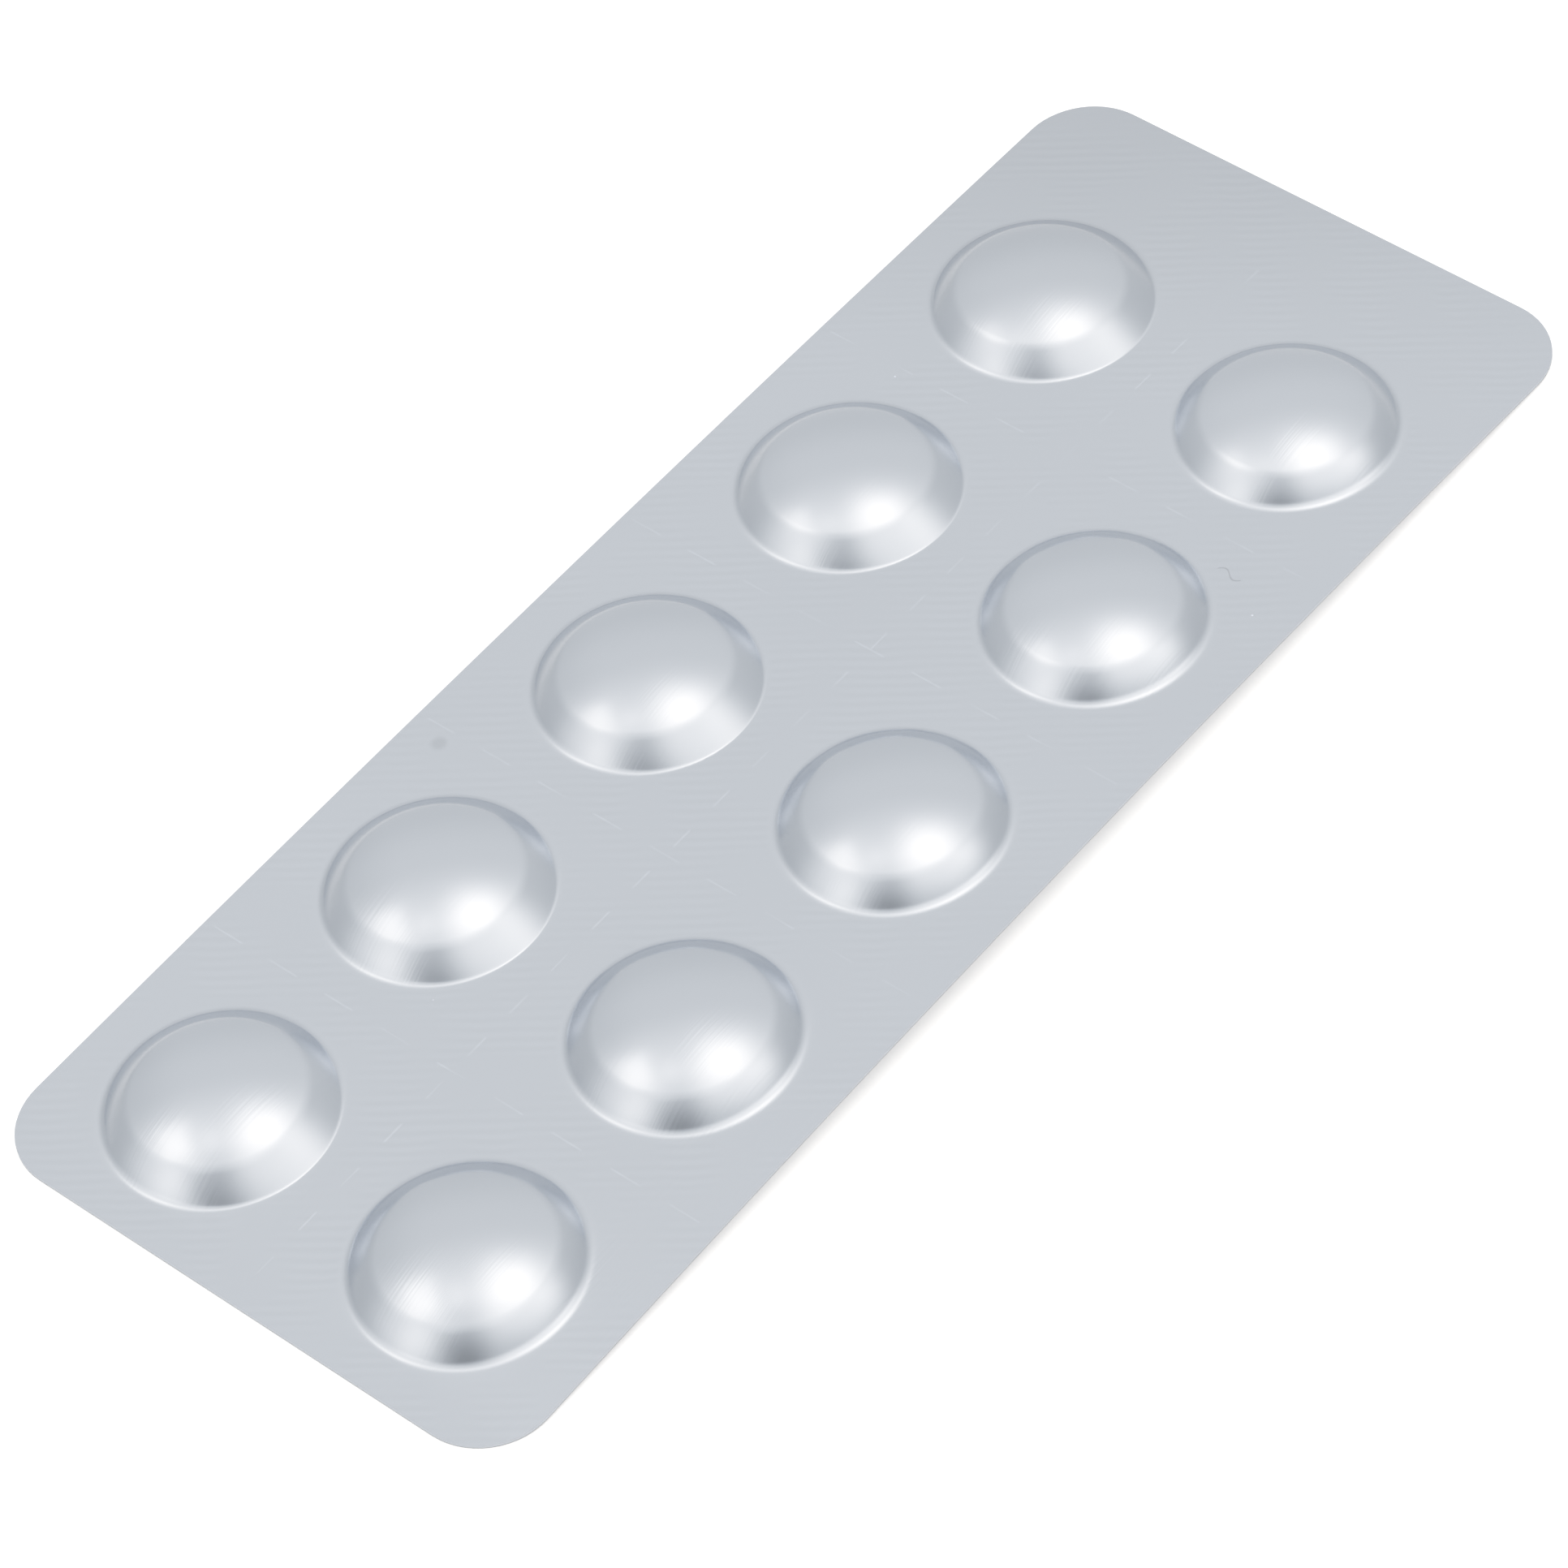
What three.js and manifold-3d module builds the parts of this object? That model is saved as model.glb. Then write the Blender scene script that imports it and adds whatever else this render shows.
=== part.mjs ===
// Blister pack of round tablets: a cold-formed aluminium strip that lies with its domes up.
// Millimetres. +X runs along the strip to its blank end, +Y runs across it and +Z is up.
// z = 0 is the surface that the two short ends rest on, and the origin is the middle of the strip.
import * as THREE from 'three';
import { mergeVertices } from 'three/addons/utils/BufferGeometryUtils.js';
import Module from 'manifold-3d';

// The pockets, one for each tablet, in columns along the strip and rows across it.
const COLUMNS = 5;
const ROWS = 2;
const RIM_RADIUS = 7.15; // where the flat foil ends and the pocket begins
const RIM_GAP = 4.35; // flat foil between two neighbouring rims
const FOOT_FILLET = 0.8; // radius from the flat foil up into the wall
const WALL_ANGLE = 42.5; // degrees above the flat foil
const WALL_RUN = 0.95; // how far the straight wall leans in, seen from above
const SHOULDER_FILLET = 2.4; // radius from the wall over into the cap
const CAP_RADIUS = 13.25; // radius of the cap, which is a part of a sphere

// The flat foil around the pockets, from the outer rims to the cut edges.
const NEAR_MARGIN = 2.35; // at the short end beside the first column
const BLANK_TAB = 8.75; // at the other short end, where a batch code would be pressed
const LEFT_MARGIN = 2.6; // along the +Y side
const RIGHT_MARGIN = 2.95; // along the -Y side
const CORNER_RADIUS = 4.5;
const FOIL_THICKNESS = 0.2; // forming foil and lidding foil, sealed together

// The strip is bowed a little: it rests on its short ends and its middle is raised.
const LEFT_BOW = 0.6; // height of the raised middle at the +Y side
const RIGHT_BOW = 1.1; // and at the -Y side
const END_REST = 2.5; // length of each short end that lies flat on the surface

// How finely curved faces are divided.
const POCKET_SIDES = 40;
const CAP_STEPS = 4;
const SHOULDER_STEPS = 3;
const FOOT_STEPS = 2;
const BOW_STEPS = 24;
const CORNER_STEPS = 8;

const pitch = 2 * RIM_RADIUS + RIM_GAP;
const stripLength = NEAR_MARGIN + (COLUMNS - 1) * pitch + 2 * RIM_RADIUS + BLANK_TAB;
const stripWidth = RIGHT_MARGIN + (ROWS - 1) * pitch + 2 * RIM_RADIUS + LEFT_MARGIN;
const spare = 2 * FOIL_THICKNESS + CORNER_RADIUS; // how far the raw band runs past the cut outline

const wasm = await Module();
wasm.setup();

// Height of the strip's underside above the surface that it lies on.
function bowHeight(x, y) {
  const reach = stripLength / 2 - END_REST;
  const along = Math.min(Math.abs(x) / reach, 1);
  const across = y / stripWidth + 0.5;
  return THREE.MathUtils.lerp(RIGHT_BOW, LEFT_BOW, across) * (1 - along * along);
}

// Bend a piece that was made flat so that it follows the bow.
function bend(geometry) {
  const position = geometry.attributes.position;
  for (let i = 0; i < position.count; i++) {
    const lift = bowHeight(position.getX(i), position.getY(i));
    position.setZ(i, position.getZ(i) + lift);
  }
  return geometry;
}

// Closed three.js geometry to a solid that can be joined and cut.
function toSolid(geometry) {
  geometry.deleteAttribute('normal');
  geometry.deleteAttribute('uv');
  const merged = mergeVertices(geometry);
  const corners = merged.index.array;
  const triVerts = [];
  for (let i = 0; i < corners.length; i += 3) {
    const [a, b, c] = [corners[i], corners[i + 1], corners[i + 2]];
    if (a !== b && b !== c && c !== a) triVerts.push(a, b, c);
  }
  const vertProperties = merged.attributes.position.array;
  return new wasm.Manifold(new wasm.Mesh({
    numProp: 3,
    vertProperties: new Float32Array(vertProperties),
    triVerts: new Uint32Array(triVerts),
  }));
}

// And back to a geometry that a mesh can show.
function toGeometry(solid) {
  const { vertProperties, triVerts } = solid.getMesh();
  const geometry = new THREE.BufferGeometry();
  geometry.setAttribute('position', new THREE.BufferAttribute(vertProperties, 3));
  geometry.setIndex(new THREE.BufferAttribute(triVerts, 1));
  geometry.computeVertexNormals();
  return geometry;
}

// The two foils sealed face to face, as one band that is wider and longer than the strip.
function foilBand() {
  const reach = stripLength / 2 - END_REST;
  const stations = [-stripLength / 2 - spare];
  for (let i = 0; i <= BOW_STEPS; i++) stations.push(reach * (2 * i / BOW_STEPS - 1));
  stations.push(stripLength / 2 + spare);
  const section = new THREE.Shape([
    ...stations.map((x) => new THREE.Vector2(x, 0)),
    ...stations.toReversed().map((x) => new THREE.Vector2(x, FOIL_THICKNESS)),
  ]);
  const width = stripWidth + 2 * spare;
  const band = new THREE.ExtrudeGeometry(section, { depth: width, bevelEnabled: false });
  band.rotateX(Math.PI / 2);
  band.translate(0, width / 2, 0);
  return toSolid(bend(band));
}

// The rounded outline that the strip is punched out to.
function punchedOutline() {
  const [x, y, r] = [stripLength / 2, stripWidth / 2, CORNER_RADIUS];
  const outline = new THREE.Shape();
  outline.absarc(x - r, r - y, r, -Math.PI / 2, 0);
  outline.absarc(x - r, y - r, r, 0, Math.PI / 2);
  outline.absarc(r - x, y - r, r, Math.PI / 2, Math.PI);
  outline.absarc(r - x, r - y, r, Math.PI, 1.5 * Math.PI);
  const height = Math.max(LEFT_BOW, RIGHT_BOW) + FOIL_THICKNESS + 2 * spare;
  const punch = new THREE.ExtrudeGeometry(outline, {
    depth: height,
    bevelEnabled: false,
    curveSegments: CORNER_STEPS,
  });
  punch.translate(0, 0, -spare);
  return toSolid(punch);
}

// Half a section through a pocket, from the flat foil in to the crown: foot, wall, shoulder and
// cap, each running on smoothly from the one before. The cap takes up the radius that is left.
function pocketSection() {
  const wall = THREE.MathUtils.degToRad(WALL_ANGLE);
  const fillets = (FOOT_FILLET + SHOULDER_FILLET) * Math.sin(wall);
  const capEdge = Math.asin(
    (RIM_RADIUS - WALL_RUN - fillets) / (CAP_RADIUS - SHOULDER_FILLET),
  );
  const section = [];
  for (let i = 1; i <= FOOT_STEPS; i++) {
    const slope = wall * i / FOOT_STEPS;
    section.push(new THREE.Vector2(
      RIM_RADIUS - FOOT_FILLET * Math.sin(slope),
      FOOT_FILLET * (1 - Math.cos(slope)),
    ));
  }
  const wallTop = section.at(-1).clone();
  wallTop.x -= WALL_RUN;
  wallTop.y += WALL_RUN * Math.tan(wall);
  for (let i = 0; i <= SHOULDER_STEPS; i++) {
    const slope = THREE.MathUtils.lerp(wall, capEdge, i / SHOULDER_STEPS);
    section.push(new THREE.Vector2(
      wallTop.x - SHOULDER_FILLET * (Math.sin(wall) - Math.sin(slope)),
      wallTop.y + SHOULDER_FILLET * (Math.cos(slope) - Math.cos(wall)),
    ));
  }
  const crown = section.at(-1).y + CAP_RADIUS * (1 - Math.cos(capEdge));
  for (let i = 1; i < CAP_STEPS; i++) {
    const slope = capEdge * (1 - i / CAP_STEPS);
    section.push(new THREE.Vector2(
      CAP_RADIUS * Math.sin(slope),
      crown - CAP_RADIUS * (1 - Math.cos(slope)),
    ));
  }
  section.push(new THREE.Vector2(0, crown));
  return section;
}

// One pocket with its tablet sealed inside. Its foot runs on below the flat foil by half the
// foil's thickness, so that the pocket joins it and comes out of it at the rim.
function pocket(x, y) {
  const sunk = FOIL_THICKNESS / 2;
  const footStart = THREE.MathUtils.degToRad(WALL_ANGLE) / FOOT_STEPS / 2;
  const profile = [
    new THREE.Vector2(0, -sunk),
    new THREE.Vector2(RIM_RADIUS + sunk / Math.tan(footStart), -sunk),
    ...pocketSection(),
  ];
  const dome = new THREE.LatheGeometry(profile, POCKET_SIDES);
  dome.rotateX(Math.PI / 2);
  dome.translate(x, y, FOIL_THICKNESS);
  return toSolid(bend(dome));
}

// The strip is sealed and can't be seen into, so foils and tablets are one solid.
function blisterPack() {
  let solid = foilBand().intersect(punchedOutline());
  for (let column = 0; column < COLUMNS; column++) {
    for (let row = 0; row < ROWS; row++) {
      const x = -stripLength / 2 + NEAR_MARGIN + RIM_RADIUS + column * pitch;
      const y = -stripWidth / 2 + RIGHT_MARGIN + RIM_RADIUS + row * pitch;
      solid = solid.add(pocket(x, y));
    }
  }
  const satinAluminium = new THREE.MeshStandardMaterial({
    color: 0xc3c8ce,
    roughness: 0.35,
    metalness: 1,
  });
  const mesh = new THREE.Mesh(toGeometry(solid), satinAluminium);
  mesh.name = 'blister_pack';
  return mesh;
}

const part = new THREE.Group();
part.add(blisterPack());

export default part;
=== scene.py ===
import math

import bmesh
import bpy
from mathutils import Matrix, Vector
from mathutils.geometry import delaunay_2d_cdt


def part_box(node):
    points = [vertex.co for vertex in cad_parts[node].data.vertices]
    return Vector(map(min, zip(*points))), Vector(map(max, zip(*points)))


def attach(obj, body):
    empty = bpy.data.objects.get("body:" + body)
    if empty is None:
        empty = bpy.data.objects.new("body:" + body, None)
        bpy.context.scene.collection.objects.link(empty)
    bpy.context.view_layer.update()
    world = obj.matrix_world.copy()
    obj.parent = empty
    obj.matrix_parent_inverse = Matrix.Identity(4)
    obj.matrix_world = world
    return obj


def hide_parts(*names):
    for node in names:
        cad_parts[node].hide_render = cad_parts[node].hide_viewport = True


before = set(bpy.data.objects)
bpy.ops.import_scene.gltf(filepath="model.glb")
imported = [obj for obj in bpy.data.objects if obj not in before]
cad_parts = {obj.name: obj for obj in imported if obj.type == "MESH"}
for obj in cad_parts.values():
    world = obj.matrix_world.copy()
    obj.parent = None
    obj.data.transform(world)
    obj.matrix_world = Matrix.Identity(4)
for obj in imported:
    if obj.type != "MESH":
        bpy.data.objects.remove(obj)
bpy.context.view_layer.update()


# Forming foil: a laminate of film, soft aluminium and film, drawn cold over a round punch into
# one domed pocket for each tablet. It keeps its flat face between the pockets, where it is
# sealed, and the finished strip is bowed a little so that its middle stands off the table.
lowest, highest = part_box("blister_pack")
foil_thickness = 0.0002  # both foils, sealed together
lidding_thickness = 0.00005
columns = 5
rows = 2
rim_radius = 0.00715  # where the flat foil ends and a pocket begins
rim_gap = 0.00435
near_margin = 0.00235  # flat foil beside the first column
right_margin = 0.00295  # and along the -Y side
corner_radius = 0.0045
foot_fillet = 0.0008  # from the flat foil up into the wall
tight_foot = 0.0003
loose_foot = 0.0009
wall_reach = 0.001675  # from the rim in to the wall's upper end
wall_climb = 0.001204
wall_top_angle = math.radians(36)
shoulder_fillet = 0.0024  # from the wall over into the cap
cap_radius = 0.01325
left_bow = 0.0006  # height of the raised middle at the +Y side
right_bow = 0.0011  # and at the -Y side
end_rest = 0.0025
pitch = 2 * rim_radius + rim_gap
first_x = lowest.x + near_margin + rim_radius
first_y = lowest.y + right_margin + rim_radius
pocket_centres = [
    (first_x + pitch * column, first_y + pitch * row)
    for column in range(columns)
    for row in range(rows)
]


def bow_height(x, y):
    """How far the strip's underside stands above the table."""
    along = min(abs(x) / (highest.x - end_rest), 1)
    across = (y - lowest.y) / (highest.y - lowest.y)
    return (right_bow + (left_bow - right_bow) * across) * (1 - along * along)


def arc(profile, radius, start, end, steps):
    """Carry a section on, up and inwards, along a part of a circle between two slopes."""
    across, up = profile[-1]
    for i in range(1, steps + 1):
        slope = start + (end - start) * i / steps
        profile.append((
            across - radius * abs(math.sin(slope) - math.sin(start)),
            up + radius * abs(math.cos(slope) - math.cos(start)),
        ))


def pocket_profile(foot=foot_fillet, steps=(10, 12, 12, 18)):
    """Radius and height of the drawn pocket, from the flat foil in to the crown.

    Foot, wall, shoulder and cap are arcs that run into each other, with a number of steps each.
    The wall's lower slope is found by halving, so that foot and wall climb to the shoulder.
    """
    least_more = 0.001
    flattest, steepest = wall_top_angle + least_more, math.radians(70)
    halvings = 40
    for _ in range(halvings):
        wall = (flattest + steepest) / 2
        radius = (wall_reach - foot * math.sin(wall)) / (math.sin(wall) - math.sin(wall_top_angle))
        climb = foot * (1 - math.cos(wall))
        climb += radius * (math.cos(wall_top_angle) - math.cos(wall))
        if climb < wall_climb:
            flattest = wall
        else:
            steepest = wall
    shoulder = rim_radius - wall_reach - shoulder_fillet * math.sin(wall_top_angle)
    cap_edge = math.asin(shoulder / (cap_radius - shoulder_fillet))
    profile = [(rim_radius, 0)]
    arc(profile, foot, 0, wall, steps[0])
    arc(profile, radius, wall, wall_top_angle, steps[1])
    arc(profile, shoulder_fillet, wall_top_angle, cap_edge, steps[2])
    arc(profile, cap_radius, cap_edge, 0, steps[3])
    return profile


def cut_outline(corner_steps=14, side_step=0.0008):
    """The outline of the strip, punched out with round corners."""
    outline = []
    x, y = highest.x - corner_radius, highest.y - corner_radius
    for quarter, (cx, cy) in enumerate([(x, y), (-x, y), (-x, -y), (x, -y)]):
        for i in range(corner_steps + 1):
            angle = math.pi / 2 * (quarter + i / corner_steps)
            outline.append((
                cx + corner_radius * math.cos(angle),
                cy + corner_radius * math.sin(angle),
            ))
    dense = []
    for a, b in zip(outline, outline[1:] + outline[:1]):
        steps = max(1, round(math.dist(a, b) / side_step))
        for i in range(steps):
            dense.append((a[0] + (b[0] - a[0]) * i / steps, a[1] + (b[1] - a[1]) * i / steps))
    return dense


def ring(centre, radius, sides):
    """Points of one circle round a pocket's middle."""
    turns = [2 * math.pi * i / sides for i in range(sides)]
    return [(centre[0] + radius * math.cos(t), centre[1] + radius * math.sin(t)) for t in turns]


def add_flat_face(bm, height, holes, grid_step=0.0015, up=True):
    """Triangles over the outline at one height above the bowed underside, less round holes."""
    outline = cut_outline()
    points, edges = [], []
    for loop in [outline, *[ring(c, r, n) for c, r, n in holes]]:
        start = len(points)
        points += [Vector(p) for p in loop]
        edges += [(start + i, start + (i + 1) % len(loop)) for i in range(len(loop))]
    half_x, half_y = highest.x - corner_radius, highest.y - corner_radius
    steps_x, steps_y = round(highest.x / grid_step), round(highest.y / grid_step)
    clear = grid_step / 3
    for i in range(1 - steps_x, steps_x):
        for j in range(1 - steps_y, steps_y):
            x, y = i * grid_step, j * grid_step
            past_corner = math.hypot(max(abs(x) - half_x, 0), max(abs(y) - half_y, 0))
            inside = past_corner < corner_radius - clear
            if inside and all(math.dist((x, y), c) > r + clear for c, r, _ in holes):
                points.append(Vector((x, y)))
    whole_hull = 0
    same_point = 1e-8
    flat, _, faces, _, _, _ = delaunay_2d_cdt(points, edges, [], whole_hull, same_point)
    made = [bm.verts.new((p.x, p.y, height + bow_height(p.x, p.y))) for p in flat]
    for face in faces:
        middle = sum((flat[i] for i in face), Vector((0, 0))) / len(face)
        if any(math.dist(middle, c) < r * math.cos(math.pi / n) for c, r, n in holes):
            continue
        order = face if up else face[::-1]
        bm.faces.new([made[i] for i in order])


def add_cut_edge(bm, low, high):
    """The band of cut foil that runs round the outline."""
    outline = cut_outline()
    bottom = [bm.verts.new((x, y, low + bow_height(x, y))) for x, y in outline]
    top = [bm.verts.new((x, y, high + bow_height(x, y))) for x, y in outline]
    for i in range(len(outline)):
        j = (i + 1) % len(outline)
        bm.faces.new([bottom[i], bottom[j], top[j], top[i]])


def add_pocket(bm, centre, height, sides=128):
    """One drawn dome, as rings round its middle. It gives back the hole that it fills.

    On the side towards -Y the foil was held tightly between the rows and loosely at the edge.
    """
    side_foot = tight_foot if centre[1] > first_y else loose_foot
    spokes = []
    for x, y in ring((0, 0), 1, sides):
        foot = foot_fillet + (side_foot - foot_fillet) * max(-y, 0) ** 2
        spokes.append([(x * r, y * r, rise) for r, rise in pocket_profile(foot)])
    outer = None
    for points in list(zip(*spokes))[:-1]:
        inner = []
        for x, y, rise in points:
            x, y = centre[0] + x, centre[1] + y
            inner.append(bm.verts.new((x, y, height + rise + bow_height(x, y))))
        for i in range(sides if outer else 0):
            j = (i + 1) % sides
            bm.faces.new([outer[i], outer[j], inner[j], inner[i]])
        outer = inner
    crown = height + spokes[0][-1][2] + bow_height(*centre)
    top = bm.verts.new((centre[0], centre[1], crown))
    for i in range(sides):
        bm.faces.new([outer[i], outer[(i + 1) % sides], top])
    return (centre, rim_radius, sides)


def finish_mesh(bm, name, material):
    """Weld the faces that meet, keep the cut edge crisp and put the piece in the scene."""
    weld = 1e-7
    crisp = math.radians(60)
    bmesh.ops.remove_doubles(bm, verts=bm.verts, dist=weld)
    bmesh.ops.recalc_face_normals(bm, faces=bm.faces)
    for face in bm.faces:
        face.smooth = True
    for edge in bm.edges:
        edge.smooth = edge.calc_face_angle(0) < crisp
    mesh = bpy.data.meshes.new(name)
    bm.to_mesh(mesh)
    bm.free()
    piece = bpy.data.objects.new(name, mesh)
    bpy.context.scene.collection.objects.link(piece)
    mesh.materials.append(material)
    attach(piece, "root")
    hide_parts("blister_pack")


class Wire:
    """A socket of a node tree. Sums of wires and numbers add their own Math nodes."""

    def __init__(self, tree, socket=None):
        self.tree = tree
        self.socket = socket

    def node(self, kind, sockets=None, output=0, **settings):
        """A new node with its settings and its sockets' values or links, as a wire from it."""
        made = self.tree.nodes.new(kind)
        for name, value in settings.items():
            setattr(made, name, value)
        for key, value in (sockets or {}).items():
            if isinstance(value, Wire):
                self.tree.links.new(value.socket, made.inputs[key])
            else:
                made.inputs[key].default_value = value
        return Wire(self.tree, made.outputs[output] if made.outputs else None)

    def math(self, operation, *values):
        """A Math node on wires, numbers or both."""
        return self.node("ShaderNodeMath", dict(enumerate(values)), operation=operation)

    def smooth(self, low, high):
        """0 below low, 1 above high and an even curve between them."""
        sockets = {"Value": self, "From Min": low, "From Max": high}
        return self.node("ShaderNodeMapRange", sockets, interpolation_type="SMOOTHSTEP")

    def within(self, low, high):
        """The value itself, held between two limits."""
        return self.math("MINIMUM", self.math("MAXIMUM", self, low), high)

    def nearest(self, count):
        """The nearest whole number from 0 up to count, less one."""
        return self.math("ROUND", self).within(0, count - 1)

    def __add__(self, other):
        return self.math("ADD", self, other)

    def __radd__(self, other):
        return self.math("ADD", other, self)

    def __sub__(self, other):
        return self.math("SUBTRACT", self, other)

    def __rsub__(self, other):
        return self.math("SUBTRACT", other, self)

    def __mul__(self, other):
        return self.math("MULTIPLY", self, other)

    def __rmul__(self, other):
        return self.math("MULTIPLY", other, self)

    def __truediv__(self, other):
        return self.math("DIVIDE", self, other)

    def __rtruediv__(self, other):
        return self.math("DIVIDE", other, self)


def new_material(name):
    """An empty material and the wire that its nodes start from."""
    material = bpy.data.materials.new(name)
    material.use_nodes = True
    material.node_tree.nodes.clear()
    return material, Wire(material.node_tree)


def close_material(start, shader):
    """Join the finished shader to the material's output."""
    start.node("ShaderNodeOutputMaterial", {"Surface": shader})


noise_middle = 0.5  # what a noise texture swings about


def rolling_lines(start, x, y):
    """Hairlines that the foil's rolling left along the strip, strong in some places only."""
    line_length, line_width = 0.007, 0.00015
    patches_along, patches_across = 110.0, 160.0
    faintest = 0.3
    worn_start, fully_worn = 0.4, 0.7
    drawn = start.node("ShaderNodeCombineXYZ", {"X": x / line_length, "Y": y / line_width})
    lines = start.node("ShaderNodeTexNoise", {"Vector": drawn, "Scale": 1.0, "Detail": 3.0})
    patches = start.node("ShaderNodeCombineXYZ", {"X": x * patches_along, "Y": y * patches_across})
    worn = start.node("ShaderNodeTexNoise", {"Vector": patches, "Scale": 1.0})
    return (lines - noise_middle) * (faintest + worn.smooth(worn_start, fully_worn))


def seal_pattern(start, x, y, wander):
    """The seal tool's fine lines, which run aslant across the strip and fade in places."""
    seal_pitch = 0.0007
    slant = math.radians(-54)
    waviness = 5.0
    faded, clear = 0.35, 0.65
    over = y * math.cos(slant) - x * math.sin(slant)
    lines = start.math("SINE", over * (2 * math.pi / seal_pitch) + wander * waviness)
    return lines * wander.smooth(faded, clear)


def tear_dashes(start, across, along, period, dash):
    """A broken line of half-cut dashes: 1 in the middle of a dash and 0 off it."""
    width = 0.00008
    core = 0.3  # share of the width that is cut to the full depth
    taper = 0.04  # share of the period in which a dash begins or ends
    line = 1 - start.math("ABSOLUTE", across).smooth(width * core, width)
    share = start.math("FRACT", along / period)
    return line * share.smooth(0.0, taper) * (1 - share.smooth(dash, dash + taper))


def tear_lines(start, x, y):
    """Tear lines between the columns, and one between the rows that ends before the tab."""
    cross_shift, cross_period, cross_dash = 0.0009, 0.0043, 0.5
    long_shift, long_period, long_dash = 0.0011, 0.0036, 0.42
    fade = 0.0002
    gap_x = x - (first_x + pitch / 2)
    gap_y = y - (first_y + pitch / 2)
    off_line = gap_x - (gap_x / pitch).nearest(columns - 1) * pitch
    crosswise = tear_dashes(start, off_line, y + cross_shift, cross_period, cross_dash)
    lengthwise = tear_dashes(start, gap_y, x + long_shift, long_period, long_dash)
    last_tear = first_x + pitch * (columns - 0.5)
    before_tab = 1 - (x - last_tear).smooth(0, fade)
    return start.math("MAXIMUM", crosswise, lengthwise * before_tab)


def cut_film(start):
    """1 on the cut edge, which shows the pale film between the two metals, and 0 elsewhere."""
    edge_on, face_on = 0.2, 0.5
    facing = start.node("ShaderNodeNewGeometry", output="Normal")
    upward = start.node("ShaderNodeSeparateXYZ", {"Vector": facing}, output="Z")
    return 1 - start.math("ABSOLUTE", upward).smooth(edge_on, face_on)


def dust_specks(start, place):
    """Specks of dust, here and there."""
    cells = 330.0  # in one metre
    core, rim = 0.012, 0.03
    sparse, sparser = 0.72, 0.75
    specks = start.node("ShaderNodeTexVoronoi", {"Vector": place, "Scale": cells})
    chosen = start.node("ShaderNodeTexVoronoi", {"Vector": place, "Scale": cells}, output="Color")
    chance = start.node("ShaderNodeSeparateColor", {"Color": chosen}, output="Red")
    return (1 - specks.smooth(core, rim)) * chance.smooth(sparse, sparser)


def dull_smudge(start, x, y):
    """One dull smudge beside the +Y edge."""
    smudge_x, smudge_y = -0.0136, 0.0167
    core, rim = 0.0002, 0.0007
    off_x, off_y = x - smudge_x, y - smudge_y
    return 1 - start.math("SQRT", off_x * off_x + off_y * off_y).smooth(core, rim)


def curled_fibre(start, x, y):
    """One hair-thin fibre, lying in a curl across the strip beside the -Y edge."""
    fibre_x, fibre_y = 0.0226, -0.0136
    wave_height, wave_turn = 0.00025, 3600.0
    core, rim = 0.00003, 0.00008
    half_length, tip = 0.0008, 0.0009
    along, across = y - fibre_y, x - fibre_x
    off = across - wave_height * start.math("SINE", along * wave_turn)
    thread = 1 - start.math("ABSOLUTE", off).smooth(core, rim)
    return thread * (1 - start.math("ABSOLUTE", along).smooth(half_length, tip))


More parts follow.
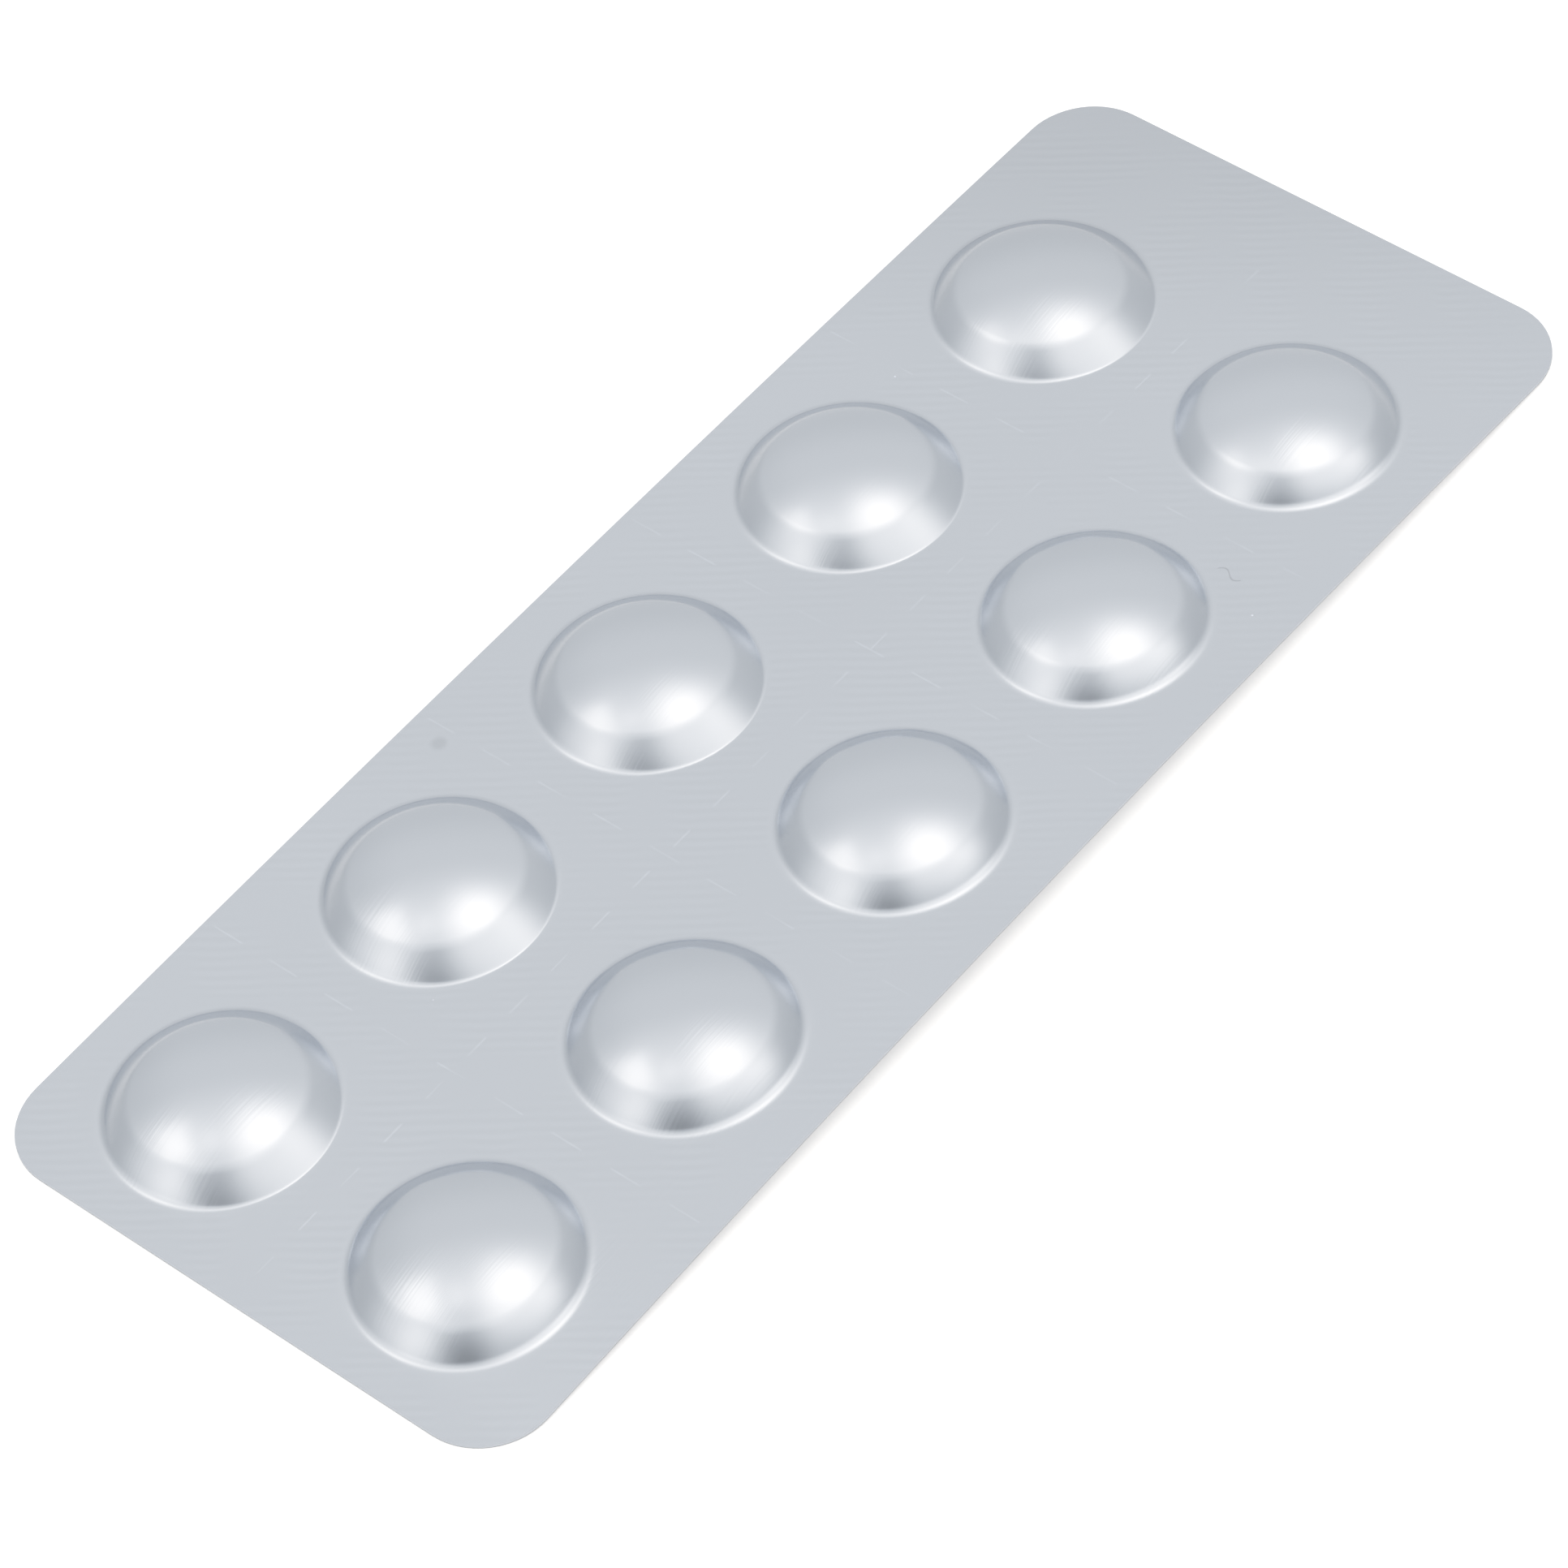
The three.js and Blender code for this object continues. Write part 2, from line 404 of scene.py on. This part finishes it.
def satin_foil():
    """Satin aluminium with rolling lines, a faint seal pattern, tear lines and small marks."""
    material, start = new_material("satin_forming_foil")
    place = start.node("ShaderNodeTexCoord", output="Object")
    x = start.node("ShaderNodeSeparateXYZ", {"Vector": place}, output="X")
    y = start.node("ShaderNodeSeparateXYZ", {"Vector": place}, output="Y")

    # How far each place lies from its own pocket's middle: on the flat foil, or on the wall
    # and shoulder, where the drawing left the foil duller.
    rim_inside, rim_outside = rim_radius - 0.0001, rim_radius + 0.0003
    dulling_start, fully_dull = 0.0038, 0.0056
    column = ((x - first_x) / pitch).nearest(columns)
    row = ((y - first_y) / pitch).nearest(rows)
    from_x = x - first_x - column * pitch
    from_y = y - first_y - row * pitch
    radius = start.math("SQRT", from_x * from_x + from_y * from_y)
    flat = radius.smooth(rim_inside, rim_outside)
    drawn = radius.smooth(dulling_start, fully_dull) * (1 - flat)

    wander = start.node("ShaderNodeTexNoise", {"Vector": place, "Scale": 260.0, "Detail": 2.0})
    grain = start.node("ShaderNodeTexNoise", {"Vector": place, "Scale": 900.0, "Detail": 3.0})
    cloud = start.node("ShaderNodeTexNoise", {"Vector": place, "Scale": 45.0, "Detail": 2.0})
    seal = seal_pattern(start, x, y, wander) * flat
    tears = tear_lines(start, x, y)
    cut = cut_film(start)
    dust = dust_specks(start, place)
    smudge = dull_smudge(start, x, y)
    fibre = curled_fibre(start, x, y)

    # The foil is darker towards the tab's +Y corner.
    corner_lean, corner_start, corner_full = 0.6, 0.03, 0.062
    corner = (x + y * corner_lean).smooth(corner_start, corner_full)

    # How much lighter or darker each of them makes the foil.
    bare_foil = (0.656, 0.692, 0.742)
    cloud_tone = 0.03
    # The pressed seal lines are also painted lighter and darker in turn: painted light and shade
    # of the lines, on top of their real height in the bump.
    seal_shading_tone = 0.011
    corner_tone = 0.1
    film_tone = 0.15
    smudge_tone = 0.1
    fibre_tone = 0.16
    # The tear dashes are painted lighter: a painted highlight along each cut, on top of their real
    # depth in the bump.
    tear_highlight_tone = 0.06
    tear_faded, tear_clear = 0.3, 0.65
    dust_tone = 0.35
    tone = 1 + (cloud - noise_middle) * cloud_tone + seal * seal_shading_tone - corner * corner_tone
    tone = tone + cut * film_tone - smudge * smudge_tone - fibre * fibre_tone
    tone = tone + tears * wander.smooth(tear_faded, tear_clear) * tear_highlight_tone + dust * dust_tone
    colour = start.node("ShaderNodeVectorMath", {
        0: bare_foil,
        1: start.node("ShaderNodeCombineXYZ", {"X": tone, "Y": tone, "Z": tone}),
    }, operation="MULTIPLY")

    # How high or deep the seal pattern, the grain and the lines are pressed.
    seal_height = 0.0000016
    grain_height = 0.0000009
    tear_depth = 0.000004
    rolling_depth = 0.000006
    height = seal * seal_height + grain * grain_height - tears * tear_depth
    height = height + rolling_lines(start, x, y) * rolling_depth
    bump = start.node("ShaderNodeBump", {"Height": height, "Strength": 1.0, "Distance": 1.0})

    satin = 0.18
    drawn_dulling, dust_dulling, film_dulling = 0.08, 0.3, 0.4
    shader = start.node("ShaderNodeBsdfPrincipled", {
        "Base Color": colour,
        "Metallic": 1 - cut,
        "Roughness": satin + drawn * drawn_dulling + dust * dust_dulling + cut * film_dulling,
        "Normal": bump,
    })
    close_material(start, shader)
    return material


formed = bmesh.new()
holes = [add_pocket(formed, centre, foil_thickness) for centre in pocket_centres]
add_flat_face(formed, foil_thickness, holes)
add_cut_edge(formed, lidding_thickness, foil_thickness)
add_flat_face(formed, lidding_thickness, [], up=False)
finish_mesh(formed, "forming_foil", satin_foil())


# Lidding foil: hard aluminium with a thin coat of seal lacquer, pressed hot onto the underside
# of the forming foil. It is flat and follows the strip's bow.
def lidding_finish():
    """Bright rolled foil."""
    material, start = new_material("lidding_foil")
    shader = start.node("ShaderNodeBsdfPrincipled", {
        "Base Color": (0.56, 0.58, 0.6, 1),
        "Metallic": 1.0,
        "Roughness": 0.3,
    })
    close_material(start, shader)
    return material


lid = bmesh.new()
add_flat_face(lid, lidding_thickness, [])
add_cut_edge(lid, 0, lidding_thickness)
add_flat_face(lid, 0, [], up=False)
finish_mesh(lid, "lidding_foil", lidding_finish())


# Camera: above the strip's near left end, looking down along it. Its place, its roll and its
# long lens are those that bring the strip's outline and rims where the photograph has them.
azimuth = math.radians(-43.116)
elevation = math.radians(49.991)
roll = math.radians(-9.487)
distance = 0.40041
aside = -0.001401
above = -0.003205
focal_pixels = 8498.0
image_pixels = 1932
sensor = 36.0
nearest_seen = 0.01
farthest_seen = 50
back = Vector((
    math.sin(azimuth) * math.cos(elevation),
    -math.cos(azimuth) * math.cos(elevation),
    math.sin(elevation),
))
level_right = Vector((0, 0, 1)).cross(back).normalized()
level_up = back.cross(level_right)
right = math.cos(roll) * level_right + math.sin(roll) * level_up
up = math.cos(roll) * level_up - math.sin(roll) * level_right
lens = bpy.data.cameras.new("camera")
lens.sensor_width = sensor
lens.lens = sensor * focal_pixels / image_pixels
lens.clip_start = nearest_seen
lens.clip_end = farthest_seen
camera = bpy.data.objects.new("camera", lens)
camera.rotation_mode = "QUATERNION"
camera.location = back * distance + right * aside + up * above
turned = Matrix((right, up, back)).transposed()
camera.rotation_quaternion = turned.to_quaternion()
bpy.context.scene.collection.objects.link(camera)
bpy.context.scene.camera = camera


# Studio: a pale room with two softboxes overhead, painted onto the world by direction. Every
# ray but the camera's own meets it, and the camera sees plain white. A white paper floor lies
# under the strip.
def studio_world():
    """Even light with brighter and darker panels, placed in degrees off the zenith."""
    world = bpy.data.worlds.new("studio")
    bpy.context.scene.world = world
    world.use_nodes = True
    world.node_tree.nodes.clear()
    start = Wire(world.node_tree)
    ray = start.node("ShaderNodeTexCoord", output="Generated")
    toward = Vector((back.x, back.y, 0)).normalized()

    def along(direction):
        """How far the ray goes in one direction."""
        sockets = {0: ray, 1: direction}
        return start.node("ShaderNodeVectorMath", sockets, "Value", operation="DOT_PRODUCT")

    front, side, top = along(toward), along(level_right), along(Vector((0, 0, 1)))
    hardly_level = 1e-4
    level = start.math("SQRT", front * front + side * side)
    level = start.math("MAXIMUM", level, hardly_level)
    tilt = start.math("ARCCOSINE", top.within(-1, 1))
    degrees = 180 / math.pi
    side_angle = side / level * tilt * degrees
    front_angle = front / level * tilt * degrees

    def panel(strength, at, half, soft):
        """A soft-edged panel: its middle and half its size, to the right and to the front."""
        off_side = start.math("ABSOLUTE", side_angle - at[0])
        off_front = start.math("ABSOLUTE", front_angle - at[1])
        inside = (1 - off_side.smooth(half[0] - soft, half[0] + soft)) * (
            1 - off_front.smooth(half[1] - soft, half[1] + soft)
        )
        return inside * strength

    # The even light and the white ceiling.
    even_light = 0.9
    light = even_light + panel(0.11, at=(-5, -11), half=(67, 52), soft=18)

    # The right softbox, with the wide glow round it.
    light = light + panel(0.5, at=(14, -8.5), half=(11, 11), soft=10)
    light = light + panel(0.26, at=(15, -8), half=(21, 18), soft=15)
    light = light + panel(0.42, at=(19, 20), half=(34, 25), soft=18)

    # The left softbox, which is smaller and crisper, and a gleam between the two.
    light = light + panel(0.4, at=(-29, -9), half=(7.5, 10.5), soft=4)
    light = light + panel(0.24, at=(-29, -8), half=(19, 18), soft=14)
    light = light + panel(0.14, at=(-12, -4), half=(2.5, 6), soft=3)

    # White cards low down at both sides.
    light = light + panel(0.38, at=(-53, 16), half=(28, 26), soft=18)
    light = light + panel(0.2, at=(-49, 30), half=(12, 13), soft=8)
    light = light + panel(0.38, at=(52, 11), half=(12, 13), soft=13)

    # The dark places: the camera on its stand, and the walls behind the strip.
    light = light + panel(-0.58, at=(-17, 58), half=(17, 26), soft=14)
    light = light + panel(-0.34, at=(-9, 18), half=(9, 16), soft=8)
    light = light + panel(-0.2, at=(-75, -45), half=(35, 65), soft=24)
    light = light + panel(-0.14, at=(78, -35), half=(28, 50), soft=22)

    # Brighter light is a little warmer, and the whole studio is dimmed to a plain level.
    warmth_share = 0.07
    dimming = 0.835
    warmth = (light - 1) * warmth_share
    light = light * dimming
    seen = start.node("ShaderNodeCombineColor", {
        "Red": light * (1 + warmth),
        "Green": light,
        "Blue": light * (1 - warmth),
    })
    plain_white = (1, 1, 1, 1)
    camera_ray = start.node("ShaderNodeLightPath", output="Is Camera Ray")
    factor, first_colour, second_colour, mixed_colour = 0, 6, 7, 2
    sockets = {factor: camera_ray, first_colour: seen, second_colour: plain_white}
    colour = start.node("ShaderNodeMix", sockets, mixed_colour, data_type="RGBA")
    shader = start.node("ShaderNodeBackground", {"Color": colour, "Strength": 1.0})
    start.node("ShaderNodeOutputWorld", {"Surface": shader})


def studio_floor(half=1.5, drop=0.00002):
    """White paper just under the strip, so that the two don't share a face."""
    paper_white = (0.8, 0.8, 0.8, 1)
    camera_glow, glossy_glow = 0.45, 0.08
    bm = bmesh.new()
    corners = [(-half, -half), (half, -half), (half, half), (-half, half)]
    bm.faces.new([bm.verts.new((x, y, -drop)) for x, y in corners])
    mesh = bpy.data.meshes.new("floor")
    bm.to_mesh(mesh)
    bm.free()
    floor = bpy.data.objects.new("floor", mesh)
    bpy.context.scene.collection.objects.link(floor)
    material, start = new_material("floor_paper")
    glow = start.node("ShaderNodeLightPath", output="Is Camera Ray") * camera_glow
    glow = glow + start.node("ShaderNodeLightPath", output="Is Glossy Ray") * glossy_glow
    glow = start.node("ShaderNodeCombineColor", {"Red": glow, "Green": glow, "Blue": glow})
    shader = start.node("ShaderNodeBsdfPrincipled", {
        "Base Color": paper_white,
        "Roughness": 0.9,
        "Specular IOR Level": 0.0,
        "Emission Color": glow,
        "Emission Strength": 1.0,
    })
    close_material(start, shader)
    mesh.materials.append(material)


studio_world()
studio_floor()
bpy.context.scene.view_settings.view_transform = "Standard"
